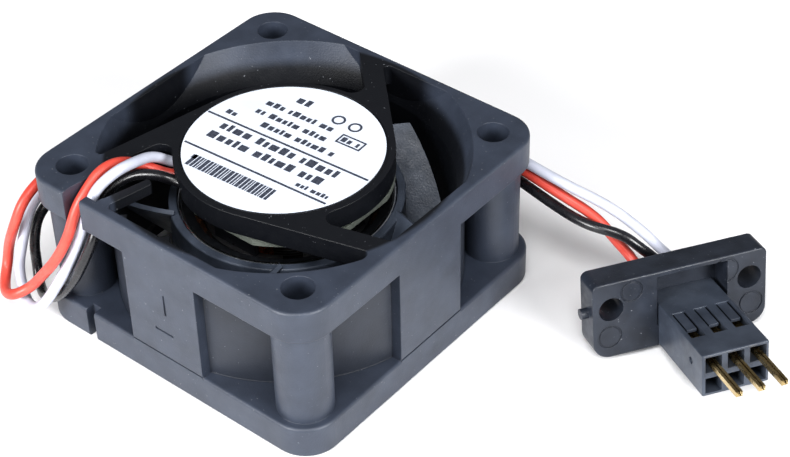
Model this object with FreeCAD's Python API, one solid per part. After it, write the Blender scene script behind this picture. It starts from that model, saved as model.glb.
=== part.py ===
import FreeCAD, Part
import os
from math import acos, cos, degrees, pi, radians, sin, tan

# A 40 x 40 x 20 mm axial fan with three leads that end in a flanged 2 x 3 way plug.
# Frame: +Z is the fan's axis, pointing out of the labelled strut side. The origin is the
# bottom centre of the fan frame. All sizes are in millimetres.

V = FreeCAD.Vector

# ---- driving dimensions -------------------------------------------------------------
FAN_SIZE = 40.0
FAN_DEPTH = 20.0
HOLE_PITCH = 32.0
HOLE_RADIUS = 1.75
FLANGE = 4.0
CORNER_RADIUS = 4.0
EDGE_RADIUS = 0.35

BORE_RADIUS = 18.55
DUCT_RADIUS = 19.4
MOUTH_RADIUS = 20.3
MOUTH_HALF = 18.85
FLARE_START = 15.2
LOWER_FLARE = 3.0
LOWER_MOUTH = 19.6

HUB_RADIUS = 12.0
HUB_FLOOR = 18.4
GATE_TOP = 19.0
SKIRT = 0.7
STRUT_WIDTH = 2.35
STRUT_FLOOR = 17.4
STRUT_TANGENTS = {"rear": 45.0, "lead": 168.5, "side": -74.7}

TUBE_RADIUS = 4.0
TUBE_BORE = 3.0
SHAFT_RADIUS = 1.0
BALL_RADIUS = 0.5
PITCH_RADIUS = 2.0
RACE_RADIUS = 0.53
BALLS = 7
BEARING_WIDTH = 2.3
LOWER_BEARING = 4.6
UPPER_BEARING = 14.4

ROTOR_RADIUS = 13.0
ROTOR_BOTTOM = 1.2
ROTOR_RIM = 14.0
ROTOR_WALL = 0.9
YOKE_TOP = 13.9
YOKE_WALL = 0.6
MAGNET_BORE = 9.6
BLADES = 5
BLADE_TIP = 17.75
BLADE_TOP = 14.4
BLADE_BOTTOM = 1.6
BLADE_TWIST = 3.3
BLADE_SWEEP = 2.1
BLADE_THICK = 0.95
BLADE_PHASE = 16.2

STATOR_RADIUS = 9.3
CORE_BOTTOM = 6.0
CORE_TOP = 12.0
BOARD_BOTTOM = 16.2
BOARD_TOP = 17.0
BOARD_RADIUS = 11.9

LEAD_RADIUS = 0.6
PLUG_PITCH = 2.54

# ---- lead routes: centre-line points, from the solder joint to the crimp --------------
PLUG_TURN = 57.2
PLUG_TILT = 10.6
PLATE_LENGTH = 20.4
PLATE_HEIGHT = 9.4
PLATE_THICK = 3.6
PLUG_CENTRE = (39.03, 19.47)
HOUSING_OFFSET = (1.2, -2.0)
HOUSING_FRONT = 10.9
PIN_FRONT = 17.0

ROUTES = {
    "white": [
        (-7.6, -5.6, 17.75), (-9.62, -7.27, 17.85), (-10.55, -9.3, 19.75), (-10.1, -12.4, 20.95),
        (-10.2, -15.1, 21.3), (-11.08, -17.5, 19.85), (-11.42, -18.5, 17.5),
        (-12.28, -18.75, 15.15), (-12.98, -19.75, 12.15), (-14, -20.45, 9.6),
        (-14.66, -21.4, 7.75), (-15.59, -22.45, 5.51), (-16.84, -23.04, 3.83),
        (-18.83, -22.76, 3.13), (-20.51, -21.92, 3.47), (-21.61, -21.2, 4.6),
        (-22.22, -20.56, 6.05), (-22.44, -19.29, 8.58), (-23, -17.1, 11.85),
        (-22.55, -12.75, 13.5), (-21.9, -5.6, 13.6), (-21.48, 3.5, 13.3), (-21.35, 12.4, 13.4),
        (-19.16, 19.25, 13.4), (-12.95, 21.95, 13.35), (-3.9, 22.05, 13.6), (5.6, 21.35, 13.85),
        (14.5, 20.95, 13.6), (21.86, 21.2, 12.5), (27.2, 22.35, 11.35), (31.3, 23.5, 8.85),
        (33.05, 24.6, 6.5), (34.9, 25.4, 4.8),
    ],
    "red": [
        (-6.6, -7.5, 17.75), (-8.48, -8.74, 17.65), (-10.47, -9.85, 18.35), (-11.4, -11.55, 19.8),
        (-11.98, -13.5, 20.7), (-12.26, -15.7, 20.6), (-12.44, -17.5, 19.2), (-12.7, -18.7, 17.9),
        (-12.75, -19.6, 16.5), (-12.95, -20.45, 14.4), (-14.3, -21.6, 11.1),
        (-16.85, -21.89, 7.77), (-18.41, -22.16, 5.65), (-19.77, -23.67, 4.66),
        (-21.62, -23.53, 3.77), (-23.42, -22.08, 3.64), (-24.56, -20.39, 4.74),
        (-24.33, -19.91, 7.28), (-22.43, -20.41, 10.63), (-21.93, -18.6, 14.2),
        (-21.96, -14.2, 15.45), (-22.25, -6.7, 15.1), (-22.9, 3, 14.1), (-22.7, 12.3, 12.45),
        (-19.63, 18.85, 11.75), (-12.85, 21.55, 11.85), (-3.95, 22, 12.2), (5.4, 21.45, 12.5),
        (14.15, 21.1, 12.3), (21.65, 21.13, 10.91), (25.84, 22.14, 9.23), (28.56, 22.39, 6.87),
        (30.21, 22.76, 5.36), (32.35, 22.03, 4.46),
    ],
    "black": [
        (-5, -9, 17.75), (-7.45, -9.5, 18), (-9.38, -11.1, 18.95), (-10.5, -13.3, 19.5),
        (-11.35, -15.6, 18.6), (-11.4, -17.05, 17.1), (-11, -17.9, 15.4), (-10.95, -19.1, 13.6),
        (-11.75, -20, 11.1), (-13.2, -20.3, 8.2), (-14.9, -20.72, 5.81), (-16.32, -20.69, 4.21),
        (-18.86, -20.41, 2.43), (-21.53, -18.88, 2.18), (-22.64, -17.88, 3.9),
        (-22.74, -17.75, 6.81), (-22.65, -16.4, 10.6), (-22.1, -11.2, 12.05), (-21.6, -3.5, 11.9),
        (-21.6, 5.3, 11.3), (-21.4, 13.6, 10.7), (-19, 19.3, 10.35), (-12.7, 21.5, 10.4),
        (-3.85, 21.75, 10.7), (5.35, 21.5, 11), (13.8, 21.25, 10.6), (20.87, 20.8, 9.31),
        (25.71, 20.41, 9), (29.63, 21.85, 8.74), (31.74, 22.84, 6.97), (32.8, 23.76, 5.66),
        (33.95, 23.85, 4.75),
    ],
}


# ---- general helpers ------------------------------------------------------------------
def cylinder(radius, bottom, top, x=0.0, y=0.0):
    return Part.makeCylinder(radius, top - bottom, V(x, y, bottom))


def ring(outer, inner, bottom, top):
    return cylinder(outer, bottom, top).cut(cylinder(inner, bottom - 1, top + 1))


def box(x0, x1, y0, y1, z0, z1):
    return Part.makeBox(x1 - x0, y1 - y0, z1 - z0, V(x0, y0, z0))


def prism(points, bottom, top):
    """Upright prism over a closed outline of x, y points."""
    corners = [V(x, y, bottom) for x, y in points]
    outline = Part.makePolygon(corners + corners[:1])
    return Part.Face(outline).extrude(V(0, 0, top - bottom))


def turned(shape, angle):
    """Copy of the shape turned about the Z axis by an angle in degrees."""
    copy = shape.copy()
    copy.rotate(V(0, 0, 0), V(0, 0, 1), angle)
    return copy


def around(shape, count, start=0.0):
    return [turned(shape, start + 360.0 * index / count) for index in range(count)]


def fused(shapes):
    result = shapes[0]
    if len(shapes) > 1:
        result = shapes[0].multiFuse(shapes[1:])
    return result.removeSplitter()


def is_upright(edge):
    ends = [vertex.Point for vertex in edge.Vertexes]
    if len(ends) < 2:
        return False
    return (ends[0] - ends[1]).cross(V(0, 0, 1)).Length < 1e-6


def lies_at(edge, height):
    box_of_edge = edge.BoundBox
    return abs(box_of_edge.ZMin - height) < 1e-6 and abs(box_of_edge.ZMax - height) < 1e-6


def upright_edges_near(shape, places):
    """Upright edges closest to each of the given x, y places."""
    edges = []
    for x, y in places:
        upright = [edge for edge in shape.Edges if is_upright(edge)]
        edges.append(min(upright, key=lambda edge: (edge.Vertexes[0].X - x) ** 2
                         + (edge.Vertexes[0].Y - y) ** 2))
    return edges


def rounded_plate(size, radius, bottom, top, edge_radius):
    plate = box(-size / 2, size / 2, -size / 2, size / 2, bottom, top)
    plate = plate.makeFillet(radius, [edge for edge in plate.Edges if is_upright(edge)])
    if edge_radius:
        rims = [edge for edge in plate.Edges if lies_at(edge, bottom) or lies_at(edge, top)]
        plate = plate.makeFillet(edge_radius, rims)
    return plate


# ---- fan frame ------------------------------------------------------------------------
HALF = FAN_SIZE / 2
POST = HOLE_PITCH / 2
POST_RADIUS = 3.1
PAD_HALF = 5.1
NOTCH = (-13.4, -10.9)
CHANNEL_RIGHT = (-9.55, -7.85)
CHANNEL_END = -12.5
CORNER_PLATE_EDGE = -12.95
RIM_INNER = -18.85


def strut_bar(angle, bottom, top):
    """Bar whose outer edge is tangent to the hub at the given angle."""
    bar = box(HUB_RADIUS - STRUT_WIDTH, HUB_RADIUS, 0, 1.2 * HALF, bottom, top)
    return turned(bar, angle)


def lead_strut_line(offset, y):
    """x of a line along the lead strut, at a distance from its outer edge."""
    angle = radians(STRUT_TANGENTS["lead"])
    return (HUB_RADIUS - offset - y * sin(angle)) / cos(angle)


def mouth(bottom, top):
    return cylinder(MOUTH_RADIUS, bottom, top).common(
        box(-MOUTH_HALF, MOUTH_HALF, -MOUTH_HALF, MOUTH_HALF, bottom, top))


def corner_plate(bottom, top):
    """Solid corner beside the lead strut, round the screw hole."""
    return prism([(-HALF, -HALF), (lead_strut_line(STRUT_WIDTH, -HALF), -HALF),
                  (lead_strut_line(STRUT_WIDTH, CORNER_PLATE_EDGE), CORNER_PLATE_EDGE),
                  (-HALF, CORNER_PLATE_EDGE)], bottom, top)


WINDOW_CORNERS = [
    ((1.78, 11.87), 1.4), ((-5.2, 18.85), 0.6), ((-15.63, -12.95), 0.5), ((-14.88, -12.95), 0.35),
    ((-1.88, 18.85), 0.6), ((18.85, -4.85), 0.6), ((9.43, -7.43), 1.3),
    ((18.3, -7.36), 0.6), ((18.3, -8.78), 0.9), ((-10.88, -5.07), 1.4),
]


def windows(bottom, top):
    """The three air windows between the hub, the struts and the rim, with round corners."""
    solid = mouth(bottom, top).cut(cylinder(HUB_RADIUS, bottom, top))
    for angle in STRUT_TANGENTS.values():
        solid = solid.cut(strut_bar(angle, bottom, top))
    solid = solid.cut(corner_plate(bottom, top)).cut(box(18.3, HALF, -9.5, -6, bottom, top))
    pieces = []
    for piece in solid.Solids:
        for (x, y), radius in WINDOW_CORNERS:
            edge = upright_edges_near(piece, [(x, y)])[0]
            if abs(edge.Vertexes[0].X - x) + abs(edge.Vertexes[0].Y - y) < 0.15:
                piece = piece.makeFillet(radius, [edge])
        pieces.append(piece)
    return pieces


def frame_shell():
    plates = [rounded_plate(FAN_SIZE, CORNER_RADIUS, 0, FLANGE, EDGE_RADIUS),
              rounded_plate(FAN_SIZE, CORNER_RADIUS, FAN_DEPTH - FLANGE, FAN_DEPTH, EDGE_RADIUS)]
    duct = cylinder(DUCT_RADIUS, FLANGE - 1, FAN_DEPTH - FLANGE + 1)
    posts = [cylinder(POST_RADIUS, FLANGE - 1, FAN_DEPTH - FLANGE + 1, x, y)
             for x in (-POST, POST) for y in (-POST, POST)]
    pad = box(-PAD_HALF, PAD_HALF, -HALF, -HALF + 2, FLANGE - 1, FAN_DEPTH - FLANGE + 1)
    solid = fused(plates + [duct] + posts + around(pad, 4))
    bore = cylinder(BORE_RADIUS, -1, FAN_DEPTH + 1)
    upper = Part.makeCone(BORE_RADIUS, MOUTH_RADIUS, FAN_DEPTH - FLARE_START, V(0, 0, FLARE_START))
    lower = Part.makeCone(LOWER_MOUTH, BORE_RADIUS, LOWER_FLARE, V(0, 0, 0))
    limits = box(-MOUTH_HALF, MOUTH_HALF, -MOUTH_HALF, MOUTH_HALF, 0, FAN_DEPTH)
    return solid.cut(bore).cut(upper.common(limits)).cut(lower.common(limits))


def hub_and_struts():
    layer = cylinder(HALF * 1.45, STRUT_FLOOR, FAN_DEPTH)
    for window in windows(STRUT_FLOOR, FAN_DEPTH):
        layer = layer.cut(window)
    outline = rounded_plate(FAN_SIZE, CORNER_RADIUS, 0, FAN_DEPTH, EDGE_RADIUS)
    layer = layer.common(outline)
    pocket = cylinder(HUB_RADIUS - SKIRT, STRUT_FLOOR - 1, HUB_FLOOR)
    lead_gate = turned(box(HUB_RADIUS - 3, HUB_RADIUS + 1.5, -2.4, 4.3, STRUT_FLOOR - 1, GATE_TOP), 224)
    return layer.cut(pocket).cut(lead_gate)


def lead_channel():
    """Slot through the upper flange that carries the leads to the edge notch."""
    outline = [(lead_strut_line(STRUT_WIDTH, CHANNEL_END), CHANNEL_END),
               (NOTCH[0], RIM_INNER), (NOTCH[0], -HALF - 1), (NOTCH[1], -HALF - 1),
               (NOTCH[1], RIM_INNER), (CHANNEL_RIGHT[0], RIM_INNER),
               (CHANNEL_RIGHT[1], CHANNEL_END)]
    return prism(outline, FLARE_START, FAN_DEPTH + 1)


def lead_finger():
    """Slender finger on the rim that keeps the leads against their strut."""
    width = 0.9
    depth = 1.3
    finger = prism([(CHANNEL_RIGHT[0] + 0.1, RIM_INNER - 0.4), (CHANNEL_RIGHT[0] + 0.1, RIM_INNER),
                    (CHANNEL_RIGHT[1], CHANNEL_END - 0.2),
                    (CHANNEL_RIGHT[1] + width, CHANNEL_END - 0.6),
                    (CHANNEL_RIGHT[0] + 1.5, RIM_INNER + 0.6),
                    (CHANNEL_RIGHT[0] + 2.2, RIM_INNER - 0.4)],
                   FAN_DEPTH - depth, FAN_DEPTH)
    tips = [(CHANNEL_RIGHT[1], CHANNEL_END - 0.2), (CHANNEL_RIGHT[1] + width, CHANNEL_END - 0.6)]
    return finger.makeFillet(0.35, upright_edges_near(finger, tips))


def rim_hook(x, length, reach):
    """Small sloping hook inside the front rim."""
    base = RIM_INNER - 0.3
    points = [V(x, base, 19.8), V(x + length, base, 19.8), V(x + length, base, 18.0), V(x, base, 18.0)]
    tip = V(x + 0.25 * length, RIM_INNER + reach, 19.2)
    faces = [Part.Face(Part.makePolygon(points + points[:1]))]
    for first, second in zip(points, points[1:] + points[:1]):
        faces.append(Part.Face(Part.makePolygon([first, second, tip, first])))
    return Part.makeSolid(Part.makeShell(faces))


def air_arrows():
    """Two engraved strokes on the front pad: the air and the turning direction."""
    depth = 0.15
    strokes = [box(0.35, 0.65, -HALF - 1, -HALF + depth, 10.3, 13.1),
               box(-1.3, 1.3, -HALF - 1, -HALF + depth, 7.6, 7.9)]
    return strokes


def make_frame():
    solid = fused([frame_shell(), hub_and_struts()])
    solid = solid.cut(lead_channel())
    solid = fused([solid, lead_finger(), rim_hook(-0.9, 2.2, 1.5), rim_hook(-6.6, 1.7, 1.2)])
    for x in (-POST, POST):
        for y in (-POST, POST):
            solid = solid.cut(cylinder(HOLE_RADIUS, -1, FAN_DEPTH + 1, x, y))
    solid = solid.cut(cylinder(TUBE_RADIUS, STRUT_FLOOR - 1, FAN_DEPTH + 1))
    solid = solid.cut(cylinder(LABEL_POCKET, LABEL_FLOOR, FAN_DEPTH + 1))
    solid = solid.cut(box(-12.5, -11.3, -HALF - 1, RIM_INNER, -1, FLANGE + 1))
    groove = box(-PAD_HALF, PAD_HALF, -HALF - 1, -HALF + 0.15, FLANGE, FLANGE + 0.22)
    for cut in around(groove, 4) + air_arrows():
        solid = solid.cut(cut)
    return solid


LABEL_RADIUS = 11.05
LABEL_POCKET = 11.35
LABEL_FLOOR = 19.85


def make_label():
    return cylinder(LABEL_RADIUS, LABEL_FLOOR, LABEL_FLOOR + 0.1, -0.2, 0.15)


def make_bearing_tube():
    """Brass liner that holds both bearings, with a shoulder between them."""
    liner = cylinder(TUBE_RADIUS, LOWER_BEARING - 0.4, LABEL_FLOOR - 0.45)
    shoulder = 2.6
    liner = liner.cut(cylinder(TUBE_BORE, LOWER_BEARING - 1, LOWER_BEARING + BEARING_WIDTH))
    liner = liner.cut(cylinder(shoulder, LOWER_BEARING, UPPER_BEARING + 1))
    return liner.cut(cylinder(TUBE_BORE, UPPER_BEARING, FAN_DEPTH))


# ---- electronics ------------------------------------------------------------------------
BOBBIN_POST = 6.2
WINDING_PIN_RADIUS = 0.3


def diagonal_places(radius, start=45.0):
    angles = [radians(start + 90 * index) for index in range(4)]
    return [(radius * cos(angle), radius * sin(angle)) for angle in angles]


def make_circuit_board():
    board = cylinder(BOARD_RADIUS, BOARD_BOTTOM, BOARD_TOP)
    board = board.cut(box(11.4, 13, -13, 13, BOARD_BOTTOM - 1, BOARD_TOP + 1))
    board = board.cut(box(-13, 13, -13, -10.85, BOARD_BOTTOM - 1, BOARD_TOP + 1))
    corner = turned(box(11.0, 14, -8, 8, BOARD_BOTTOM - 1, BOARD_TOP + 1), 238)
    board = board.cut(corner).cut(cylinder(TUBE_RADIUS, BOARD_BOTTOM - 1, BOARD_TOP + 1))
    for x, y in diagonal_places(BOBBIN_POST):
        board = board.cut(cylinder(WINDING_PIN_RADIUS, BOARD_BOTTOM - 1, BOARD_TOP + 1, x, y))
    return board


def chip(x, y, length, width, height, legs):
    """Chip with gull-wing legs along its two long sides."""
    body = box(x - length / 2, x + length / 2, y - width / 2, y + width / 2, BOARD_TOP + 0.08,
               BOARD_TOP + 0.08 + height)
    body = body.makeFillet(0.08, body.Edges)
    pieces = [body]
    for index in range(legs):
        leg_x = x + (index - (legs - 1) / 2) * length / legs
        for side in (-1, 1):
            near = y + side * (width / 2 - 0.1)
            far = y + side * (width / 2 + 0.55)
            pieces.append(box(leg_x - 0.13, leg_x + 0.13, min(near, far), max(near, far),
                              BOARD_TOP, BOARD_TOP + 0.2))
    return fused(pieces)


def make_driver_chip():
    return chip(2.4, 7.0, 4.4, 2.6, 0.95, 4)


def make_hall_sensor():
    """Magnetic sensor that hangs from the board over the magnet."""
    body = box(-1.4, 1.4, 8.9, 10.2, 13.9, 15.4)
    body = body.makeFillet(0.1, body.Edges)
    legs = [box(x - 0.18, x + 0.18, 9.4, 9.7, 15.2, BOARD_BOTTOM) for x in (-0.9, 0.0, 0.9)]
    return turned(fused([body] + legs), 70)


def make_board_components():
    places = [(-2.5, 8.2, 0), (-5.4, 6.4, 30), (7.6, 3.0, 90), (8.2, -2.2, 90), (5.6, -6.6, 20),
              (1.2, -8.6, 0), (-8.6, 2.4, 80)]
    parts = []
    for x, y, angle in places:
        body = box(-0.8, 0.8, -0.4, 0.4, 0, 0.5)
        body = body.makeFillet(0.06, [edge for edge in body.Edges if lies_at(edge, 0.5)])
        body.rotate(V(0, 0, 0), V(0, 0, 1), angle)
        body.translate(V(x, y, BOARD_TOP))
        parts.append(body)
    return Part.makeCompound(parts)


def solder_dome(x, y, radius, height):
    """Cap of solder on the board; the sphere's centre lies below the board's top."""
    sphere_radius = (radius ** 2 + height ** 2) / (2 * height)
    ball = Part.makeSphere(sphere_radius, V(x, y, BOARD_TOP + height - sphere_radius))
    return ball.common(cylinder(radius + 1, BOARD_TOP, BOARD_TOP + height + 1, x, y))


def make_solder_joints():
    domes = []
    for colour in ROUTES:
        start, after = [V(*point) for point in ROUTES[colour][:2]]
        dome = solder_dome(start.x + 0.3, start.y + 0.2, 1.0, 0.95)
        domes.append(dome.cut(Part.makeCylinder(LEAD_RADIUS, 3, start, after - start)))
    for x, y in diagonal_places(BOBBIN_POST):
        domes.append(solder_dome(x, y, 0.6, 0.5).cut(
            cylinder(WINDING_PIN_RADIUS, BOARD_TOP - 1, BOARD_TOP + 2, x, y)))
    return Part.makeCompound(domes)


# ---- motor ------------------------------------------------------------------------------
ARM_WIDTH = 2.6
COIL_GAP = 3.0
COIL_COVER = 14.15


def make_stator_core():
    """Stack of laminations with four T-shaped poles."""
    hub = ring(5.2, TUBE_RADIUS, CORE_BOTTOM, CORE_TOP)
    arm = box(4.8, STATOR_RADIUS - 0.4, -ARM_WIDTH / 2, ARM_WIDTH / 2, CORE_BOTTOM, CORE_TOP)
    shoe = ring(STATOR_RADIUS, STATOR_RADIUS - 1.0, CORE_BOTTOM, CORE_TOP)
    wedge = prism([(0, 0), (12, -9.2), (12, 9.2)], CORE_BOTTOM, CORE_TOP)
    pole = fused([arm, shoe.common(wedge)])
    return fused([hub] + around(pole, 4))


def bobbin(bottom, top, guard_bottom, guard_top):
    """Insulating end piece of the stator: a ring, four arms and four guards."""
    hub = ring(5.4, TUBE_RADIUS, bottom, top)
    arm = box(4.8, 8.0, -COIL_GAP / 2, COIL_GAP / 2, bottom, top)
    guard = box(8.0, 8.6, -2.9, 2.9, min(guard_bottom, bottom), max(guard_top, top))
    return [hub] + around(fused([arm, guard]), 4)


def make_bobbin_lower():
    return fused(bobbin(CORE_BOTTOM - 0.8, CORE_BOTTOM, CORE_BOTTOM - 1.7, CORE_BOTTOM))


def insulating_disc():
    """Dished disc over the coils, notched for the magnetic sensor."""
    top = COIL_COVER + 0.5
    disc = ring(9.25, TUBE_RADIUS, COIL_COVER, top)
    disc = disc.makeChamfer(0.35, [edge for edge in disc.Edges
                                   if lies_at(edge, top) and edge.Length > 2 * pi * 9])
    return disc.cut(turned(box(-1.8, 1.8, 8.6, 12, COIL_COVER - 1, top + 1), 70))


def make_bobbin_upper():
    pieces = bobbin(CORE_TOP, CORE_TOP + 0.8, CORE_TOP, CORE_TOP + 1.7) + [insulating_disc()]
    for x, y in diagonal_places(BOBBIN_POST):
        pieces.append(cylinder(1.0, CORE_TOP, BOARD_BOTTOM, x, y))
    solid = fused(pieces)
    for x, y in diagonal_places(BOBBIN_POST):
        solid = solid.cut(cylinder(WINDING_PIN_RADIUS, CORE_TOP + 1.5, BOARD_BOTTOM + 1, x, y))
    return solid


def make_winding_pins():
    return Part.makeCompound([cylinder(WINDING_PIN_RADIUS, CORE_TOP + 1.5, BOARD_TOP + 0.7, x, y)
                              for x, y in diagonal_places(BOBBIN_POST)])


def make_stator_windings():
    """Four coils, each a rounded block of wire round one arm."""
    thick = 1.15
    outer = box(5.5, 7.75, -COIL_GAP / 2 - thick, COIL_GAP / 2 + thick,
                CORE_BOTTOM - 0.8 - thick, CORE_TOP + 0.8 + thick)
    outer = outer.makeFillet(0.9, [edge for edge in outer.Edges if abs(
        edge.Vertexes[0].Y - edge.Vertexes[-1].Y) < 1e-6 and abs(
        edge.Vertexes[0].Z - edge.Vertexes[-1].Z) < 1e-6])
    inner = box(5, 9, -COIL_GAP / 2, COIL_GAP / 2, CORE_BOTTOM - 0.8, CORE_TOP + 0.8)
    return Part.makeCompound(around(outer.cut(inner), 4))


def race(radius, middle):
    return Part.makeTorus(PITCH_RADIUS, radius, V(0, 0, middle))


def make_outer_ring(bottom):
    middle = bottom + BEARING_WIDTH / 2
    return ring(TUBE_BORE, 2.5, bottom, bottom + BEARING_WIDTH).cut(race(RACE_RADIUS, middle))


def make_inner_ring(bottom):
    middle = bottom + BEARING_WIDTH / 2
    return ring(1.5, SHAFT_RADIUS, bottom, bottom + BEARING_WIDTH).cut(race(RACE_RADIUS, middle))


def make_shields(bottom):
    low = ring(2.5, 1.64, bottom + 0.06, bottom + 0.18)
    high = ring(2.5, 1.64, bottom + BEARING_WIDTH - 0.18, bottom + BEARING_WIDTH - 0.06)
    return Part.makeCompound([low, high])


def make_balls(bottom):
    middle = bottom + BEARING_WIDTH / 2
    ball = Part.makeSphere(BALL_RADIUS, V(PITCH_RADIUS, 0, middle))
    return Part.makeCompound(around(ball, BALLS))


def make_cage(bottom):
    """Crown cage: a thin ring with a pocket for each ball."""
    middle = bottom + BEARING_WIDTH / 2
    crown = ring(PITCH_RADIUS + 0.24, PITCH_RADIUS - 0.24, middle - 0.3, middle + 0.85)
    pocket = Part.makeSphere(BALL_RADIUS + 0.03, V(PITCH_RADIUS, 0, middle))
    for cut in around(pocket, BALLS):
        crown = crown.cut(cut)
    return crown


# ---- rotor ------------------------------------------------------------------------------
BUSH_TOP = 3.4
CLIP_BOTTOM = 16.95


def blade_section(distance):
    """Closed outline of the blade where it crosses the plane x = distance."""
    middle = (BLADE_TOP + BLADE_BOTTOM) / 2
    steps = 6
    upper = []
    lower = []
    for index in range(steps + 1):
        share = index / steps
        height = BLADE_BOTTOM + share * (BLADE_TOP - BLADE_BOTTOM)
        angle = BLADE_TWIST * (height - middle) - BLADE_SWEEP * (distance - 15.0)
        angle += 2.2 * (1 - (2 * share - 1) ** 2)
        across = distance * tan(radians(angle))
        half = BLADE_THICK / 2 * (0.45 + 0.55 * (1 - (2 * share - 1) ** 2))
        upper.append(V(distance, across + half, height - 0.7 * half))
        lower.append(V(distance, across - half, height + 0.7 * half))
    sides = []
    for points in (upper, lower[::-1]):
        curve = Part.BSplineCurve()
        curve.interpolate(points)
        sides.append(curve.toShape())
    return Part.Wire([sides[0], Part.makeLine(upper[-1], lower[-1]), sides[1],
                      Part.makeLine(lower[0], upper[0])])


def make_blade():
    sections = [blade_section(distance) for distance in (11.0, 15.0, 19.0)]
    blade = Part.makeLoft(sections, True, False)
    sweep = ring(BLADE_TIP, ROTOR_RADIUS - ROTOR_WALL / 2, BLADE_BOTTOM - 1, BLADE_TOP + 1)
    return blade.common(sweep)


def make_impeller():
    cup = cylinder(ROTOR_RADIUS, ROTOR_BOTTOM, ROTOR_RIM)
    bottom_edge = [edge for edge in cup.Edges if lies_at(edge, ROTOR_BOTTOM)]
    cup = cup.makeFillet(0.8, bottom_edge)
    rim_edge = [edge for edge in cup.Edges if lies_at(edge, ROTOR_RIM)]
    cup = cup.makeFillet(0.2, rim_edge)
    inside = cylinder(ROTOR_RADIUS - ROTOR_WALL, ROTOR_BOTTOM + 1.0, ROTOR_RIM + 1)
    cup = cup.cut(inside).cut(cylinder(SHAFT_RADIUS + 1.4, ROTOR_BOTTOM + 0.5, ROTOR_RIM))
    middle = (BLADE_TOP + BLADE_BOTTOM) / 2
    top_angle = BLADE_TWIST * (BLADE_TOP - middle) - BLADE_SWEEP * (ROTOR_RADIUS + 0.2 - 15.0)
    blades = around(make_blade(), BLADES, BLADE_PHASE - top_angle)
    return fused([cup] + blades)


def make_rotor_yoke():
    """Steel cup round the magnet."""
    outer = ROTOR_RADIUS - ROTOR_WALL
    floor = ROTOR_BOTTOM + 1.0
    cup = cylinder(outer, floor, YOKE_TOP)
    cup = cup.cut(cylinder(outer - YOKE_WALL, floor + YOKE_WALL, ROTOR_RIM + 1))
    rim = [edge for edge in cup.Edges if lies_at(edge, YOKE_TOP)]
    return cup.makeFillet(0.25, rim).cut(cylinder(3.2, floor - 1, floor + 2))


def make_magnet_ring():
    outer = ROTOR_RADIUS - ROTOR_WALL - YOKE_WALL
    magnet = ring(outer, MAGNET_BORE, 3.5, 13.3)
    inner_top = [edge for edge in magnet.Edges if lies_at(edge, 13.3) and edge.Length < 2 * pi * 10.5]
    return magnet.makeChamfer(0.8, inner_top)


def make_shaft_bush():
    bush = cylinder(SHAFT_RADIUS + 1.4, ROTOR_BOTTOM + 0.5, BUSH_TOP)
    return bush.cut(cylinder(SHAFT_RADIUS, ROTOR_BOTTOM, BUSH_TOP + 1))


def make_shaft():
    shaft = cylinder(SHAFT_RADIUS, ROTOR_BOTTOM + 0.5, 18.3)
    shaft = shaft.makeChamfer(0.2, [edge for edge in shaft.Edges if lies_at(edge, 18.3)])
    return shaft.cut(ring(SHAFT_RADIUS + 1, 0.75, CLIP_BOTTOM, CLIP_BOTTOM + 0.4))


def make_retaining_clip():
    """Open clip that snaps into the groove near the shaft's end."""
    clip = ring(2.3, 0.75, CLIP_BOTTOM, CLIP_BOTTOM + 0.4)
    return clip.cut(box(0, 3, -0.62, 0.62, CLIP_BOTTOM - 1, CLIP_BOTTOM + 1))


def make_clip_washer():
    return ring(1.9, SHAFT_RADIUS, UPPER_BEARING + BEARING_WIDTH, CLIP_BOTTOM)


def make_preload_spring():
    """Wave spring between the bush and the lower inner ring: four leaves joined at their crests."""
    leaf = 0.12
    rise = (LOWER_BEARING - BUSH_TOP - leaf) / 3
    inner = SHAFT_RADIUS + 0.1
    outer = 1.7
    pieces = [ring(outer, inner, BUSH_TOP + level * rise, BUSH_TOP + level * rise + leaf) for level in range(4)]
    for level in range(3):
        bottom = BUSH_TOP + level * rise
        crest = box(inner + 0.05, outer - 0.1, -0.3, 0.3, bottom + leaf / 2, bottom + rise + leaf / 2)
        pieces += around(crest, 3, 60.0 * level)
    return fused(pieces)


# ---- plug ---------------------------------------------------------------------------------
def plug_axes():
    """Directions of the plug: along its plate, up its plate and out of its pins."""
    turn = radians(PLUG_TURN)
    tilt = radians(PLUG_TILT)
    along = V(cos(turn), sin(turn), 0)
    out = V(sin(turn) * cos(tilt), -cos(turn) * cos(tilt), sin(tilt))
    return along, out.cross(along), out


def plug_origin():
    along, up, out = plug_axes()
    height = 0.03 + PLATE_HEIGHT / 2 * up.z + PLATE_THICK * out.z
    return V(PLUG_CENTRE[0], PLUG_CENTRE[1], height)


def place_on_plug(shape):
    along, up, out = plug_axes()
    origin = plug_origin()
    matrix = FreeCAD.Matrix(along.x, up.x, out.x, origin.x, along.y, up.y, out.y, origin.y,
                            along.z, up.z, out.z, origin.z, 0, 0, 0, 1)
    placed = shape.copy()
    placed.Placement = FreeCAD.Placement(matrix)
    return placed


def plug_point(a, b, n):
    along, up, out = plug_axes()
    return plug_origin() + along * a + up * b + out * n


HOUSING_HALF = (3 * PLUG_PITCH / 2, PLUG_PITCH)
CRIMP_REAR = -1.4
PIN_COLUMNS = {"red": -1, "black": 0, "white": 1}
PLATE_HOLES = [(-8.1, 1.4), (8.1, 1.4)]
PLATE_HOLE_RADIUS = 1.4
POCKET_DEPTH = 2.9
POCKET_RAIL = 0.6


def housing_box(n0, n1, margin=0.0):
    x, y = HOUSING_OFFSET
    return box(x - HOUSING_HALF[0] - margin, x + HOUSING_HALF[0] + margin,
               y - HOUSING_HALF[1] - margin, y + HOUSING_HALF[1] + margin, n0, n1)


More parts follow.
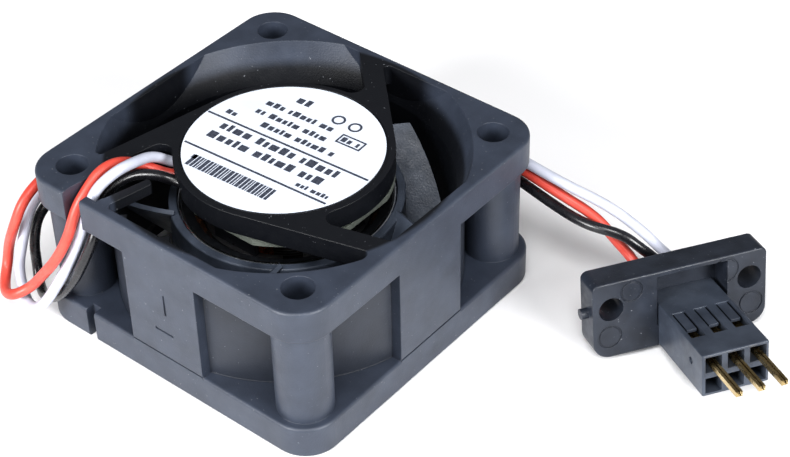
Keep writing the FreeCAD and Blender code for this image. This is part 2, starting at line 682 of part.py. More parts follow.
def make_plug_plate():
    half = (PLATE_LENGTH / 2, PLATE_HEIGHT / 2)
    plate = box(-half[0], half[0], -half[1], half[1], -PLATE_THICK, 0)
    corners = [(x, y) for x in (-half[0], half[0]) for y in (-half[1], half[1])]
    for x, y in corners:
        plate = plate.makeFillet(0.8 if y > 0 else 2.0, upright_edges_near(plate, [(x, y)]))
    plate = plate.makeFillet(0.22, [edge for edge in plate.Edges
                                    if lies_at(edge, 0) or lies_at(edge, -PLATE_THICK)])
    for x, y in PLATE_HOLES:
        plate = plate.cut(cylinder(PLATE_HOLE_RADIUS, -PLATE_THICK - 1, 1, x, y))
    marks = [(-8.3, -2.0, 1.4), (-5.7, 3.1, 1.3), (5.3, 2.9, 1.55), (8.3, -1.9, 1.45)]
    for x, y, radius in marks:
        plate = plate.cut(ring(radius, radius - 0.22, -0.1, 1).translated(V(x, y, 0)))
    gate = Part.makeCylinder(0.6, 0.9, V(-half[0] + 0.1, 0.5, -1.8), V(-1, 0, 0))
    plate = fused([plate, gate])
    plate = plate.cut(box(HOUSING_OFFSET[0] - HOUSING_HALF[0] - 0.15, HOUSING_OFFSET[0] + HOUSING_HALF[0] + 0.5,
                          HOUSING_OFFSET[1], half[1] - POCKET_RAIL, -POCKET_DEPTH, 1))
    plate = plate.cut(housing_box(-PLATE_THICK - 1, 1))
    foot = box(HOUSING_OFFSET[0] - HOUSING_HALF[0], HOUSING_OFFSET[0] + HOUSING_HALF[0],
               -half[1] - 1, -half[1] + 1, -PLATE_THICK - 1, 1)
    return place_on_plug(plate.cut(foot))


def make_plug_housing():
    body = housing_box(-PLATE_THICK, HOUSING_FRONT)
    body = body.makeFillet(0.18, [edge for edge in body.Edges if is_upright(edge)
                                  or lies_at(edge, HOUSING_FRONT)])
    x, y = HOUSING_OFFSET
    window = (2.2, 7.3)
    through = 5.6
    for column in (-1, 0, 1):
        middle = x + column * PLUG_PITCH
        for row in (-0.5, 0.5):
            level = y + row * PLUG_PITCH
            body = body.cut(box(middle - 0.93, middle + 0.93, level - 0.93, level + 0.93,
                                -PLATE_THICK - 1, HOUSING_FRONT + 1))
            outer = level + row * 2 * 1.5
            body = body.cut(box(middle - 0.8, middle + 0.8, min(level, outer), max(level, outer),
                                window[0], window[1]))
        tongue = box(middle - 0.56, middle + 0.56, y + PLUG_PITCH - 0.5, y + PLUG_PITCH - 0.12,
                     window[0] - 0.2, through)
        body = fused([body, tongue])
        body = body.cut(box(middle - 0.6, middle + 0.6, y - 0.5, y + 0.5, through, window[1]))
    side = Part.makeCylinder(0.4, 0.5, V(x - HOUSING_HALF[0] - 0.3, y + 0.4, 8.1), V(1, 0, 0))
    return place_on_plug(body.cut(side))


def make_pin(column):
    """Folded contact: crimp barrel, box body and a two-leaf pin with a centre seam."""
    x = HOUSING_OFFSET[0] + column * PLUG_PITCH
    y = HOUSING_OFFSET[1] + PLUG_PITCH / 2
    barrel = cylinder(0.72, CRIMP_REAR, 2.6, x, y)
    body = box(x - 0.8, x + 0.8, y - 0.75, y + 0.38, 2.4, 8.6)
    body = body.makeFillet(0.15, [edge for edge in body.Edges if is_upright(edge)])
    leaf = prism([(x - 0.37, y - 0.30), (x + 0.37, y - 0.30), (x + 0.37, y + 0.30),
                  (x - 0.37, y + 0.30)], 8.4, PIN_FRONT)
    tip = [edge for edge in leaf.Edges if lies_at(edge, PIN_FRONT)]
    leaf = leaf.makeChamfer(0.2, tip)
    seam = box(x - 0.07, x + 0.07, y - 0.08, y + 1, 8.8, PIN_FRONT + 1)
    return place_on_plug(fused([barrel, body, leaf.cut(seam)]))


# ---- leads -------------------------------------------------------------------------------
def lead_points(colour):
    """Route of one lead; its last two points lie on the axis of its crimp."""
    a = HOUSING_OFFSET[0] + PIN_COLUMNS[colour] * PLUG_PITCH
    b = HOUSING_OFFSET[1] + PLUG_PITCH / 2
    points = [V(*point) for point in ROUTES[colour]]
    return points + [plug_point(a, b, -4.2), plug_point(a, b, CRIMP_REAR)]


def tube_path(points):
    """Straight runs joined by tangent arcs as large as the runs allow."""
    edges = []
    radii = []
    last = points[0]
    for before, point, after in zip(points, points[1:], points[2:]):
        run_in = point - before
        run_out = after - point
        shorter = min(run_in.Length, run_out.Length)
        turn = acos(max(-1, min(1, run_in.dot(run_out) / run_in.Length / run_out.Length)))
        cut_back = 0.45 * shorter
        into = V(run_in).normalize()
        away = V(run_out).normalize()
        start = point - into * cut_back
        end = point + away * cut_back
        radius = cut_back / tan(turn / 2)
        bisector = (away - into).normalize()
        centre = point + bisector * (radius / cos(turn / 2))
        middle = centre - bisector * radius
        edges.append(Part.makeLine(last, start))
        edges.append(Part.Arc(start, middle, end).toShape())
        radii.append((radius, degrees(turn)))
        last = end
    edges.append(Part.makeLine(last, points[-1]))
    return Part.Wire(edges), radii


def make_lead(colour):
    points = lead_points(colour)
    path, radii = tube_path(points)
    start = (points[1] - points[0]).normalize()
    profile = Part.Wire(Part.Circle(points[0], start, LEAD_RADIUS).toShape())
    tube = path.makePipeShell([profile], True, False)
    solid = Part.Solid(tube) if tube.ShapeType != "Solid" else tube
    expected = pi * LEAD_RADIUS ** 2 * path.Length
    smallest = min(radii)
    print("lead_" + colour, "length %.1f" % path.Length, "volume ratio %.4f" % (solid.Volume / expected),
          "smallest radius %.2f" % smallest[0], "largest turn %.0f" % max(turn for _, turn in radii))
    print("  radii", " ".join("%.1f" % radius for radius, _ in radii))
    return solid


# ---- output ------------------------------------------------------------------------------
def make_all():
    nodes = {
        "frame": make_frame(),
        "label": make_label(),
        "bearing_tube": make_bearing_tube(),
        "circuit_board": make_circuit_board(),
        "driver_chip": make_driver_chip(),
        "hall_sensor": make_hall_sensor(),
        "board_components": make_board_components(),
        "solder_joints": make_solder_joints(),
        "stator_core": make_stator_core(),
        "bobbin_lower": make_bobbin_lower(),
        "bobbin_upper": make_bobbin_upper(),
        "winding_pins": make_winding_pins(),
        "stator_windings": make_stator_windings(),
        "impeller": make_impeller(),
        "rotor_yoke": make_rotor_yoke(),
        "magnet_ring": make_magnet_ring(),
        "shaft_bush": make_shaft_bush(),
        "shaft": make_shaft(),
        "preload_spring": make_preload_spring(),
        "clip_washer": make_clip_washer(),
        "retaining_clip": make_retaining_clip(),
        "plug_plate": make_plug_plate(),
        "plug_housing": make_plug_housing(),
    }
    for name, bottom in (("lower_bearing", LOWER_BEARING), ("upper_bearing", UPPER_BEARING)):
        nodes[name + "_outer_ring"] = make_outer_ring(bottom)
        nodes[name + "_inner_ring"] = make_inner_ring(bottom)
        nodes[name + "_shields"] = make_shields(bottom)
        nodes[name + "_balls"] = make_balls(bottom)
        nodes[name + "_cage"] = make_cage(bottom)
    for colour, column in PIN_COLUMNS.items():
        nodes["pin_" + colour] = make_pin(column)
        nodes["lead_" + colour] = make_lead(colour)
    return nodes


def main():
    os.makedirs("parts", exist_ok=True)
    for name, shape in make_all().items():
        print("%-26s valid %s solids %d volume %.2f" % (name, shape.isValid(), len(shape.Solids), shape.Volume))
        shape.exportStep("parts/" + name + ".step")


main()
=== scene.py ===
import bpy
from math import cos, pi, radians, sin
from mathutils import Matrix, Vector


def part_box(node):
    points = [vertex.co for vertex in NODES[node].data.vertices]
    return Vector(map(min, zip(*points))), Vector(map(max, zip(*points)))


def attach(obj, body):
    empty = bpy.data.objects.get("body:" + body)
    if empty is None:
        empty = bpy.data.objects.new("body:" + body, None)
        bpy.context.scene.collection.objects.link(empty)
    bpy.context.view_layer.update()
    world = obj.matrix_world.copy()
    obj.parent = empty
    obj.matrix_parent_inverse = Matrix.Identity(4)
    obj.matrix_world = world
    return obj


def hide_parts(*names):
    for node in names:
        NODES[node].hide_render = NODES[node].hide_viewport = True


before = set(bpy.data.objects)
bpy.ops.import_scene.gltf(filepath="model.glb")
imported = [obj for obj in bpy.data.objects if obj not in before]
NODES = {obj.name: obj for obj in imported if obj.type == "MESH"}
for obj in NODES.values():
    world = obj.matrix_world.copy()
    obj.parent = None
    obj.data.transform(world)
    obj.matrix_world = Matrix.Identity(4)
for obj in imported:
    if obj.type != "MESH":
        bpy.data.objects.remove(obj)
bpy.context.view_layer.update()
MM = 0.001
WAVE_PERIOD = 0.314  # distance between the bands of a wave texture at scale 1
MASK_SPAN = 25.0  # millimetres that a colour ramp covers when it works as a mask


# ---- camera -------------------------------------------------------------------------
CAMERA_AZIMUTH, CAMERA_ELEVATION, CAMERA_ROLL = 39.90, 40.00, -1.285
CAMERA_DISTANCE = 0.21482
CAMERA_LENS = 88.47
SENSOR_WIDTH = 36.0
AIM_HEIGHT, AIM_RIGHT, AIM_UP = 0.010, 0.011715, -0.000956


def make_camera():
    """Camera on the front right, aimed a little beside the fan's middle."""
    azimuth, elevation = radians(CAMERA_AZIMUTH), radians(CAMERA_ELEVATION)
    roll = radians(CAMERA_ROLL)
    back = Vector((sin(azimuth) * cos(elevation), -cos(azimuth) * cos(elevation), sin(elevation)))
    right = Vector((cos(azimuth), sin(azimuth), 0))
    up = back.cross(right)
    right, up = cos(roll) * right + sin(roll) * up, cos(roll) * up - sin(roll) * right
    target = Vector((0, 0, AIM_HEIGHT)) + AIM_RIGHT * right + AIM_UP * up
    place = target + CAMERA_DISTANCE * back
    data = bpy.data.cameras.new("camera")
    data.sensor_width = SENSOR_WIDTH
    data.lens = CAMERA_LENS
    data.clip_start = 0.005
    camera = bpy.data.objects.new("camera", data)
    camera.matrix_world = Matrix((
        (right.x, up.x, back.x, place.x),
        (right.y, up.y, back.y, place.y),
        (right.z, up.z, back.z, place.z),
        (0, 0, 0, 1)))
    bpy.context.scene.collection.objects.link(camera)
    bpy.context.scene.camera = camera


make_camera()

# ---- cords --------------------------------------------------------------------------
LEAD_ROUTES = {
    "white": [
        (-7.6, -5.6, 17.75), (-9.62, -7.27, 17.85), (-10.55, -9.3, 19.75), (-10.1, -12.4, 20.95),
        (-10.2, -15.1, 21.3), (-11.08, -17.5, 19.85), (-11.42, -18.5, 17.5),
        (-12.28, -18.75, 15.15), (-12.98, -19.75, 12.15), (-14, -20.45, 9.6),
        (-14.66, -21.4, 7.75), (-15.59, -22.45, 5.51), (-16.84, -23.04, 3.83),
        (-18.83, -22.76, 3.13), (-20.51, -21.92, 3.47), (-21.61, -21.2, 4.6),
        (-22.22, -20.56, 6.05), (-22.44, -19.29, 8.58), (-23, -17.1, 11.85),
        (-22.55, -12.75, 13.5), (-21.9, -5.6, 13.6), (-21.48, 3.5, 13.3), (-21.35, 12.4, 13.4),
        (-19.16, 19.25, 13.4), (-12.95, 21.95, 13.35), (-3.9, 22.05, 13.6), (5.6, 21.35, 13.85),
        (14.5, 20.95, 13.6), (21.86, 21.2, 12.5), (27.2, 22.35, 11.35), (31.3, 23.5, 8.85),
        (33.05, 24.6, 6.5), (34.9, 25.4, 4.8), (37.699, 24.777, 3.822), (40.012, 23.286, 4.337),
    ],
    "red": [
        (-6.6, -7.5, 17.75), (-8.48, -8.74, 17.65), (-10.47, -9.85, 18.35), (-11.4, -11.55, 19.8),
        (-11.98, -13.5, 20.7), (-12.26, -15.7, 20.6), (-12.44, -17.5, 19.2), (-12.7, -18.7, 17.9),
        (-12.75, -19.6, 16.5), (-12.95, -20.45, 14.4), (-14.3, -21.6, 11.1),
        (-16.85, -21.89, 7.77), (-18.41, -22.16, 5.65), (-19.77, -23.67, 4.66),
        (-21.62, -23.53, 3.77), (-23.42, -22.08, 3.64), (-24.56, -20.39, 4.74),
        (-24.33, -19.91, 7.28), (-22.43, -20.41, 10.63), (-21.93, -18.6, 14.2),
        (-21.96, -14.2, 15.45), (-22.25, -6.7, 15.1), (-22.9, 3, 14.1), (-22.7, 12.3, 12.45),
        (-19.63, 18.85, 11.75), (-12.85, 21.55, 11.85), (-3.95, 22, 12.2), (5.4, 21.45, 12.5),
        (14.15, 21.1, 12.3), (21.65, 21.13, 10.91), (25.84, 22.14, 9.23), (28.56, 22.39, 6.87),
        (30.21, 22.76, 5.36), (32.35, 22.03, 4.46), (34.947, 20.507, 3.822),
        (37.26, 19.016, 4.337),
    ],
    "black": [
        (-5, -9, 17.75), (-7.45, -9.5, 18), (-9.38, -11.1, 18.95), (-10.5, -13.3, 19.5),
        (-11.35, -15.6, 18.6), (-11.4, -17.05, 17.1), (-11, -17.9, 15.4), (-10.95, -19.1, 13.6),
        (-11.75, -20, 11.1), (-13.2, -20.3, 8.2), (-14.9, -20.72, 5.81), (-16.32, -20.69, 4.21),
        (-18.86, -20.41, 2.43), (-21.53, -18.88, 2.18), (-22.64, -17.88, 3.9),
        (-22.74, -17.75, 6.81), (-22.65, -16.4, 10.6), (-22.1, -11.2, 12.05), (-21.6, -3.5, 11.9),
        (-21.6, 5.3, 11.3), (-21.4, 13.6, 10.7), (-19, 19.3, 10.35), (-12.7, 21.5, 10.4),
        (-3.85, 21.75, 10.7), (5.35, 21.5, 11), (13.8, 21.25, 10.6), (20.87, 20.8, 9.31),
        (25.71, 20.41, 9.0), (29.63, 21.85, 8.74), (31.74, 22.84, 6.97), (32.8, 23.76, 5.66),
        (33.95, 23.85, 4.75), (36.323, 22.642, 3.822), (38.636, 21.151, 4.337),
    ],
}
LEAD_DIAMETER = 0.0012
POINT_RADIUS = 0.001  # scales the bevel, and keeps the curve's own bound box tight


def make_lead(colour):
    curve = bpy.data.curves.new("flex_" + colour, "CURVE")
    curve.dimensions = "3D"
    curve.bevel_depth = LEAD_DIAMETER / 2 / POINT_RADIUS
    curve.bevel_resolution = 5
    curve.resolution_u = 12
    curve.use_fill_caps = True
    spline = curve.splines.new("NURBS")
    points = LEAD_ROUTES[colour]
    spline.points.add(len(points) - 1)
    for control, point in zip(spline.points, points):
        control.co = [value * MM for value in point] + [1.0]
        control.radius = POINT_RADIUS
    spline.order_u = 3
    spline.use_endpoint_u = True
    lead = bpy.data.objects.new("flex_" + colour, curve)
    bpy.context.scene.collection.objects.link(lead)
    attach(lead, "base")
    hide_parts("lead_" + colour)
    return lead


leads = {colour: make_lead(colour) for colour in LEAD_ROUTES}


# ---- material tools -----------------------------------------------------------------
class Shader:
    """One procedural material, with short calls for the nodes that it uses."""

    def __init__(self, name, colour, roughness, metallic=0.0, specular=0.5):
        self.material = bpy.data.materials.new(name)
        self.material.use_nodes = True
        self.tree = self.material.node_tree
        self.main = self.tree.nodes["Principled BSDF"]
        self.main.inputs["Base Color"].default_value = (*colour, 1)
        self.main.inputs["Roughness"].default_value = roughness
        self.main.inputs["Metallic"].default_value = metallic
        self.main.inputs["Specular IOR Level"].default_value = specular
        self.material.diffuse_color = (*colour, 1)
        self.place = self.tree.nodes.new("ShaderNodeTexCoord").outputs["Object"]
        self.height = None

    def link(self, output, entry):
        self.tree.links.new(output, entry)

    def noise(self, size_mm, detail=3.0, stretch=None):
        """Noise with features of about this size."""
        node = self.tree.nodes.new("ShaderNodeTexNoise")
        node.inputs["Scale"].default_value = 1 / (size_mm * MM)
        node.inputs["Detail"].default_value = detail
        place = self.place
        if stretch:
            mapping = self.tree.nodes.new("ShaderNodeMapping")
            mapping.inputs["Scale"].default_value = stretch
            self.link(place, mapping.inputs["Vector"])
            place = mapping.outputs["Vector"]
        self.link(place, node.inputs["Vector"])
        return node.outputs["Fac"]

    def bands(self, pitch_mm):
        """Level stripes, one above the other, at this pitch."""
        node = self.tree.nodes.new("ShaderNodeTexWave")
        node.wave_type = "BANDS"
        node.bands_direction = "Z"
        node.inputs["Scale"].default_value = WAVE_PERIOD / (pitch_mm * MM)
        self.link(self.place, node.inputs["Vector"])
        return node.outputs["Fac"]

    def ramp(self, factor, low, high, start, end):
        """Maps a factor from low..high onto colours or numbers start..end."""
        node = self.tree.nodes.new("ShaderNodeValToRGB")
        first, last = node.color_ramp.elements
        first.position, last.position = low, high
        first.color = (*start, 1) if isinstance(start, tuple) else (start, start, start, 1)
        last.color = (*end, 1) if isinstance(end, tuple) else (end, end, end, 1)
        self.link(factor, node.inputs["Fac"])
        return node.outputs["Color"]

    def tint(self, factor, low, high, dark, light):
        self.link(self.ramp(factor, low, high, dark, light), self.main.inputs["Base Color"])

    def specks(self, under, size_mm, threshold, colour):
        """Scattered specks over the colour that comes from another node."""
        mask = self.ramp(self.noise(size_mm, 2.0), threshold, threshold + 0.02, 0.0, 1.0)
        mix = self.tree.nodes.new("ShaderNodeMix")
        mix.data_type = "RGBA"
        self.link(mask, mix.inputs["Factor"])
        self.link(under, mix.inputs["A"])
        mix.inputs["B"].default_value = (*colour, 1)
        self.link(mix.outputs["Result"], self.main.inputs["Base Color"])

    def from_axis(self, near_mm, far_mm):
        """Mask that goes from 0 to 1 between two distances from the fan's axis."""
        mapping = self.tree.nodes.new("ShaderNodeMapping")
        mapping.inputs["Scale"].default_value = (1 / (MASK_SPAN * MM), 1 / (MASK_SPAN * MM), 0)
        self.link(self.place, mapping.inputs["Vector"])
        length = self.tree.nodes.new("ShaderNodeVectorMath")
        length.operation = "LENGTH"
        self.link(mapping.outputs["Vector"], length.inputs[0])
        return self.ramp(length.outputs["Value"], near_mm / MASK_SPAN, far_mm / MASK_SPAN,
                         0.0, 1.0)

    def mixed(self, mask, inner, outer):
        """The inner colour where the mask is 0, and the outer node's colour where it is 1."""
        mix = self.tree.nodes.new("ShaderNodeMix")
        mix.data_type = "RGBA"
        self.link(mask, mix.inputs["Factor"])
        mix.inputs["A"].default_value = (*inner, 1)
        self.link(outer, mix.inputs["B"])
        return mix.outputs["Result"]

    def rough(self, factor, low, high):
        self.link(self.ramp(factor, 0.3, 0.7, low, high), self.main.inputs["Roughness"])

    def bump(self, factor, depth_mm, strength=1.0, rounded_mm=0.0):
        """Relief of this depth, on edges that look rounded by this radius."""
        node = self.tree.nodes.new("ShaderNodeBump")
        node.inputs["Strength"].default_value = strength
        node.inputs["Distance"].default_value = depth_mm * MM
        self.link(factor, node.inputs["Height"])
        if self.height is not None:
            self.link(self.height, node.inputs["Normal"])
        elif rounded_mm:
            edge = self.tree.nodes.new("ShaderNodeBevel")
            edge.samples = 4
            edge.inputs["Radius"].default_value = rounded_mm * MM
            self.link(edge.outputs["Normal"], node.inputs["Normal"])
        self.height = node.outputs["Normal"]
        self.link(self.height, self.main.inputs["Normal"])


# Painted shade: nearer the fan's axis than this span, the frame's colour turns near-black to
# stand in for the shade inside the bore.
BORE_SHADE_EDGE = (19.2, 19.6)
BORE_PAINTED_SHADE = (0.004, 0.005, 0.008)
DUST_TONE = (0.20, 0.21, 0.23)


def moulded(name, dark, light, rough_low, rough_high, grain_mm, depth_mm, edge_mm=0.15,
            speck=0.74, specular=0.4, painted_bore_shade=False):
    """Moulded plastic: cloudy tone, mould grain, dust specks and soft edges, with painted shade
    inside the bore when asked.
    """
    made = Shader(name, dark, 0.5, 0.0, specular)
    tone = made.ramp(made.noise(3.2, 4.0), 0.3, 0.7, dark, light)
    # Painted shade: the bore and everything inside it get a near-black colour in place of the
    # shade there.
    if painted_bore_shade:
        tone = made.mixed(made.from_axis(*BORE_SHADE_EDGE), BORE_PAINTED_SHADE, tone)
    made.specks(tone, 0.28, speck, DUST_TONE)
    made.rough(made.noise(1.1, 4.0), rough_low, rough_high)
    made.bump(made.noise(grain_mm, 3.0), depth_mm, 0.55, edge_mm)
    made.bump(made.noise(2.4, 2.0), 0.02, 0.12)
    return made


def metal(name, dark, light, rough_low, rough_high, size_mm=0.5, depth_mm=0.004, stretch=None):
    made = Shader(name, light, rough_high, 1.0)
    made.tint(made.noise(size_mm * 4, 3.0), 0.3, 0.7, dark, light)
    made.rough(made.noise(size_mm, 3.0, stretch), rough_low, rough_high)
    made.bump(made.noise(size_mm, 3.0, stretch), depth_mm, 0.6, 0.06)
    return made


def insulation(name, dark, light, rough_low, rough_high, coat=0.2):
    made = Shader(name, light, rough_low)
    made.tint(made.noise(2.6, 3.0), 0.3, 0.7, dark, light)
    made.rough(made.noise(0.5, 3.0), rough_low, rough_high)
    made.bump(made.noise(0.22, 2.0), 0.008, 0.5)
    made.main.inputs["Coat Weight"].default_value = coat
    made.main.inputs["Coat Roughness"].default_value = 0.25
    return made


def core_steel():
    made = Shader("core_steel", (0.45, 0.46, 0.48), 0.4, 1.0)
    layers = made.bands(0.35)
    made.tint(layers, 0.1, 0.6, (0.16, 0.16, 0.17), (0.5, 0.5, 0.52))
    made.rough(made.noise(0.4), 0.35, 0.6)
    made.bump(layers, 0.02, 0.8)
    return made


def copper():
    made = Shader("copper", (0.75, 0.30, 0.12), 0.3, 1.0)
    turns = made.bands(0.14)
    made.tint(turns, 0.1, 0.6, (0.28, 0.08, 0.03), (0.82, 0.34, 0.13))
    made.rough(made.noise(0.3), 0.22, 0.42)
    made.bump(turns, 0.03, 0.9)
    return made


def board():
    made = Shader("board", (0.30, 0.33, 0.24), 0.55)
    layers = made.noise(0.5, 4.0, (1, 1, 6))
    tone = made.ramp(layers, 0.3, 0.7, (0.13, 0.15, 0.13), (0.24, 0.26, 0.23))
    made.specks(tone, 0.2, 0.70, (0.30, 0.31, 0.28))
    made.rough(made.noise(0.3), 0.45, 0.75)
    made.bump(made.noise(0.15, 4.0), 0.02, 0.7, 0.05)
    return made


def label_paper():
    made = Shader("label_paper", (0.86, 0.89, 0.95), 0.4)
    made.tint(made.noise(5.0, 3.0), 0.3, 0.7, (0.66, 0.71, 0.80), (0.74, 0.78, 0.86))
    made.rough(made.noise(0.6, 4.0), 0.32, 0.5)
    made.bump(made.noise(0.12, 4.0, (1, 3, 1)), 0.006, 0.5)
    made.main.inputs["Coat Weight"].default_value = 0.25
    made.main.inputs["Coat Roughness"].default_value = 0.3
    return made


def magnet():
    made = Shader("magnet", (0.012, 0.013, 0.016), 0.35, 0.0, 0.6)
    made.tint(made.noise(0.6, 4.0), 0.3, 0.7, (0.008, 0.009, 0.011), (0.018, 0.020, 0.024))
    made.rough(made.noise(0.3), 0.30, 0.44)
    made.bump(made.noise(0.12, 4.0), 0.004, 0.5)
    return made


def print_ink():
    made = Shader("print_ink", (0.035, 0.04, 0.06), 0.55)
    made.tint(made.noise(0.25, 4.0), 0.3, 0.7, (0.02, 0.024, 0.04), (0.08, 0.09, 0.12))
    made.rough(made.noise(0.2), 0.45, 0.65)
    return made


SLOTS = {
    # The frame gets painted shade in its bore.
    "frame_plastic": moulded("frame_plastic", (0.030, 0.037, 0.054), (0.044, 0.054, 0.078),
                             0.42, 0.48, 0.20, 0.035, specular=0.6, painted_bore_shade=True),
    "rotor_plastic": moulded("rotor_plastic", (0.050, 0.062, 0.086), (0.110, 0.132, 0.176),
                             0.36, 0.55, 0.24, 0.07, 0.12, 0.78, specular=0.6),
    "plug_plastic": moulded("plug_plastic", (0.014, 0.017, 0.024), (0.030, 0.036, 0.050),
                            0.28, 0.44, 0.22, 0.02, 0.10, 0.73),
    # The bobbin's near-black tone is painted shade, standing in for the shaded hollow under the
    # hub.
    "bobbin_plastic": moulded("bobbin_plastic", (0.010, 0.011, 0.014), (0.018, 0.020, 0.025),
                              0.26, 0.38, 0.25, 0.01, 0.06, 0.9),
    "cage_plastic": moulded("cage_plastic", (0.30, 0.20, 0.10), (0.40, 0.28, 0.14),
                            0.40, 0.55, 0.15, 0.01, 0.04, 0.9),
    "chip_black": moulded("chip_black", (0.015, 0.015, 0.016), (0.03, 0.03, 0.032),
                          0.5, 0.65, 0.1, 0.01, 0.04, 0.9),
    "ceramic": moulded("ceramic", (0.34, 0.25, 0.16), (0.46, 0.36, 0.25),
                       0.45, 0.6, 0.15, 0.01, 0.03, 0.9),
    "label_paper": label_paper(),
    "board": board(),
    "magnet": magnet(),
    "core_steel": core_steel(),
    "copper": copper(),
    "brass_tube": metal("brass_tube", (0.55, 0.40, 0.16), (0.80, 0.60, 0.28), 0.25, 0.4),
    "steel": metal("steel", (0.62, 0.64, 0.68), (0.86, 0.88, 0.92), 0.16, 0.28, 0.8, 0.001),
    "bearing_steel": metal("bearing_steel", (0.60, 0.61, 0.63), (0.80, 0.81, 0.83), 0.10, 0.2),
    "spring_steel": metal("spring_steel", (0.40, 0.40, 0.42), (0.62, 0.62, 0.64), 0.25, 0.4),
    "solder": metal("solder", (0.50, 0.51, 0.52), (0.74, 0.75, 0.76), 0.25, 0.5, 0.3, 0.01),
    "gold_contact": metal("gold_contact", (0.42, 0.31, 0.14), (0.66, 0.52, 0.29), 0.22, 0.34,
                          0.6, 0.0008),
    "red_insulation": insulation("red_insulation", (0.56, 0.062, 0.042), (0.68, 0.095, 0.068),
                                 0.38, 0.52),
    "white_insulation": insulation("white_insulation", (0.47, 0.49, 0.58), (0.57, 0.59, 0.68),
                                   0.34, 0.46),
    "black_insulation": insulation("black_insulation", (0.006, 0.006, 0.008),
                                   (0.014, 0.014, 0.017), 0.22, 0.36, 0.4),
}


def slot_of(name):
    """The record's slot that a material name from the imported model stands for."""
    found = [slot for slot in SLOTS if name == slot or name.startswith(slot)]
    return max(found, key=len) if found else None


for node in NODES.values():
    for place in node.material_slots:
        name = slot_of(place.material.name) if place.material else None
        if name is None:
            print("NO SLOT", node.name, place.material.name if place.material else None)
            continue
        place.material = SLOTS[name].material
# Lighter copy of the plug plastic for the plug housing: the lighter tone is painted sheen,
# standing in for the light that its top catches.
plug_body_painted_sheen = moulded("plug_body_painted_sheen", (0.034, 0.041, 0.056), (0.060, 0.072, 0.096),
                    0.30, 0.44, 0.22, 0.02, 0.10, 0.76)
for place in NODES["plug_housing"].material_slots:
    place.material = plug_body_painted_sheen.material
for colour, lead in leads.items():
    lead.data.materials.append(SLOTS[colour + "_insulation"].material)


# ---- label print --------------------------------------------------------------------
LABEL_CENTRE = (-0.20, 0.15)
LABEL_TURN = radians(3.6)
LABEL_RADIUS = 10.9
INK = 0.03


class Print:
    """Flat marks of ink on the label: rules, blocks and rings, with no lettering."""

    def __init__(self, level):
        self.level = level
        self.vertices = []
        self.faces = []

    def point(self, x, y, z):
        turned_x = x * cos(LABEL_TURN) - y * sin(LABEL_TURN)
        turned_y = x * sin(LABEL_TURN) + y * cos(LABEL_TURN)
        self.vertices.append(((LABEL_CENTRE[0] + turned_x) * MM,
                              (LABEL_CENTRE[1] + turned_y) * MM,
                              (self.level + z) * MM))

    def plate(self, outline):
        """Thin closed plate over an anticlockwise outline."""
        start, count = len(self.vertices), len(outline)
        for z in (0.0, INK):
            for x, y in outline:
                self.point(x, y, z)
        self.faces.append([start + count + i for i in range(count)])
        self.faces.append([start + i for i in reversed(range(count))])
        for i in range(count):
            after = (i + 1) % count
            self.faces.append([start + i, start + after, start + count + after,
                               start + count + i])

    def bar(self, x, y, width, height):
        self.plate([(x, y), (x + width, y), (x + width, y + height), (x, y + height)])

    def rule(self, y, height):
        half = (LABEL_RADIUS ** 2 - max(abs(y), abs(y + height)) ** 2) ** 0.5
        self.bar(-half, y, 2 * half, height)

    def row(self, right, left, y, height, seed):
        """Row of short blocks in uneven groups, between two ends."""
        x, step = right, 0
        while x > left + height * 0.5:
            step += 1
            width = height * (0.42 + 0.16 * ((seed * 7 + step * 5) % 4))
            self.bar(x - width, y, width, height * (0.8 if (step + seed) % 3 else 1.0))
            x -= width + height * (0.85 if (seed + step) % 5 == 0 else 0.28)

    def ring(self, x, y, outer, inner):
        count = 28
        for i in range(count):
            a, b = 2 * pi * i / count, 2 * pi * (i + 1) / count
            self.plate([(x + inner * cos(a), y + inner * sin(a)),
                        (x + outer * cos(a), y + outer * sin(a)),
                        (x + outer * cos(b), y + outer * sin(b)),
                        (x + inner * cos(b), y + inner * sin(b))])

    def barcode(self, right, y, height, count):
        """Bars of four widths in a fixed order, from the right end leftwards."""
        x = right
        for number in range(count):
            width = 0.13 + 0.10 * ((number * 5 + 2) % 4)
            x -= width + 0.14
            self.bar(x, y, width, height)

    def outline(self, x, y, width, height, line):
        self.bar(x, y, width, line)
        self.bar(x, y + height - line, width, line)
        self.bar(x, y + line, line, height - 2 * line)
        self.bar(x + width - line, y + line, line, height - 2 * line)


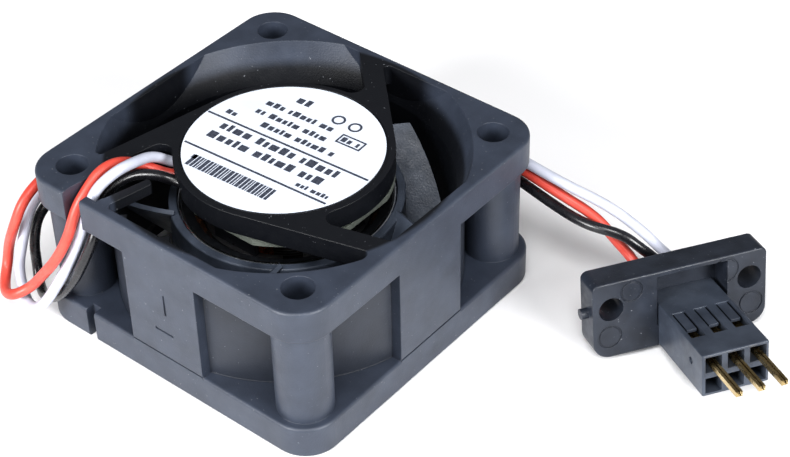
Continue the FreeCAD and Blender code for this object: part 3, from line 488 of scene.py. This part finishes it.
def make_label_print():
    label_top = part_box("label")[1].z / MM
    ink = Print(label_top + 0.002)
    ink.rule(-5.30, 0.26)
    ink.rule(0.32, 0.26)
    ink.barcode(4.1, -8.2, 1.9, 26)
    ink.row(-6.6, -7.4, -7.0, 0.8, 3)
    ink.row(9.1, 4.6, -4.55, 0.62, 1)
    ink.row(7.0, -7.9, -3.1, 1.15, 2)
    ink.row(7.7, -8.3, -1.2, 1.15, 5)
    ink.row(5.2, -5.6, 1.5, 0.85, 4)
    ink.row(2.9, -7.1, 3.2, 0.85, 6)
    ink.row(2.5, -6.4, 5.0, 0.85, 3)
    ink.row(-7.9, -9.7, 1.35, 0.7, 7)
    ink.row(-2.2, -5.4, 7.2, 1.1, 8)
    ink.outline(3.9, 3.9, 3.2, 1.6, 0.2)
    ink.row(6.6, 4.3, 4.3, 0.8, 9)
    ink.ring(4.3, 7.1, 0.8, 0.55)
    ink.ring(2.0, 7.2, 0.8, 0.55)
    mesh = bpy.data.meshes.new("label_print")
    mesh.from_pydata(ink.vertices, [], ink.faces)
    mesh.materials.append(print_ink().material)
    piece = bpy.data.objects.new("label_print", mesh)
    bpy.context.scene.collection.objects.link(piece)
    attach(piece, "base")


make_label_print()


# ---- floor and light ----------------------------------------------------------------
FLOOR_HALF = 1.5
FLOOR_GAP = 0.00002
LIGHT_AIM = (0, 0, 0.01)


def make_floor():
    mesh = bpy.data.meshes.new("floor")
    half = FLOOR_HALF
    mesh.from_pydata([(-half, -half, 0), (half, -half, 0), (half, half, 0), (-half, half, 0)],
                     [], [(0, 1, 2, 3)])
    floor = bpy.data.objects.new("floor", mesh)
    floor.location.z = -FLOOR_GAP
    made = Shader("floor_white", (0.92, 0.92, 0.93), 0.8, 0.0, 0.2)
    made.tint(made.noise(40.0, 2.0), 0.3, 0.7, (0.90, 0.90, 0.91), (0.94, 0.94, 0.95))
    mesh.materials.append(made.material)
    bpy.context.scene.collection.objects.link(floor)


def area_light(name, place, size, power):
    data = bpy.data.lights.new(name, "AREA")
    data.shape = "DISK"
    data.size = size
    data.energy = power
    light = bpy.data.objects.new(name, data)
    light.location = place
    away = Vector(place) - Vector(LIGHT_AIM)
    light.rotation_euler = away.to_track_quat("Z", "Y").to_euler()
    bpy.context.scene.collection.objects.link(light)


def make_light():
    """Even pale surroundings and three soft lights: front, right and above."""
    world = bpy.data.worlds.new("studio")
    world.use_nodes = True
    world.node_tree.nodes["Background"].inputs["Color"].default_value = (0.97, 0.98, 1.0, 1)
    world.node_tree.nodes["Background"].inputs["Strength"].default_value = 0.16
    bpy.context.scene.world = world
    area_light("key", (-0.06, -0.46, 0.22), 0.26, 2.8)
    area_light("side", (0.46, -0.04, 0.22), 0.26, 2.5)
    area_light("top", (0.16, -0.20, 0.44), 0.22, 1.2)


make_floor()
make_light()
bpy.context.scene.view_settings.view_transform = "Standard"
bpy.context.scene.view_settings.look = "Medium High Contrast"

bpy.context.view_layer.update()
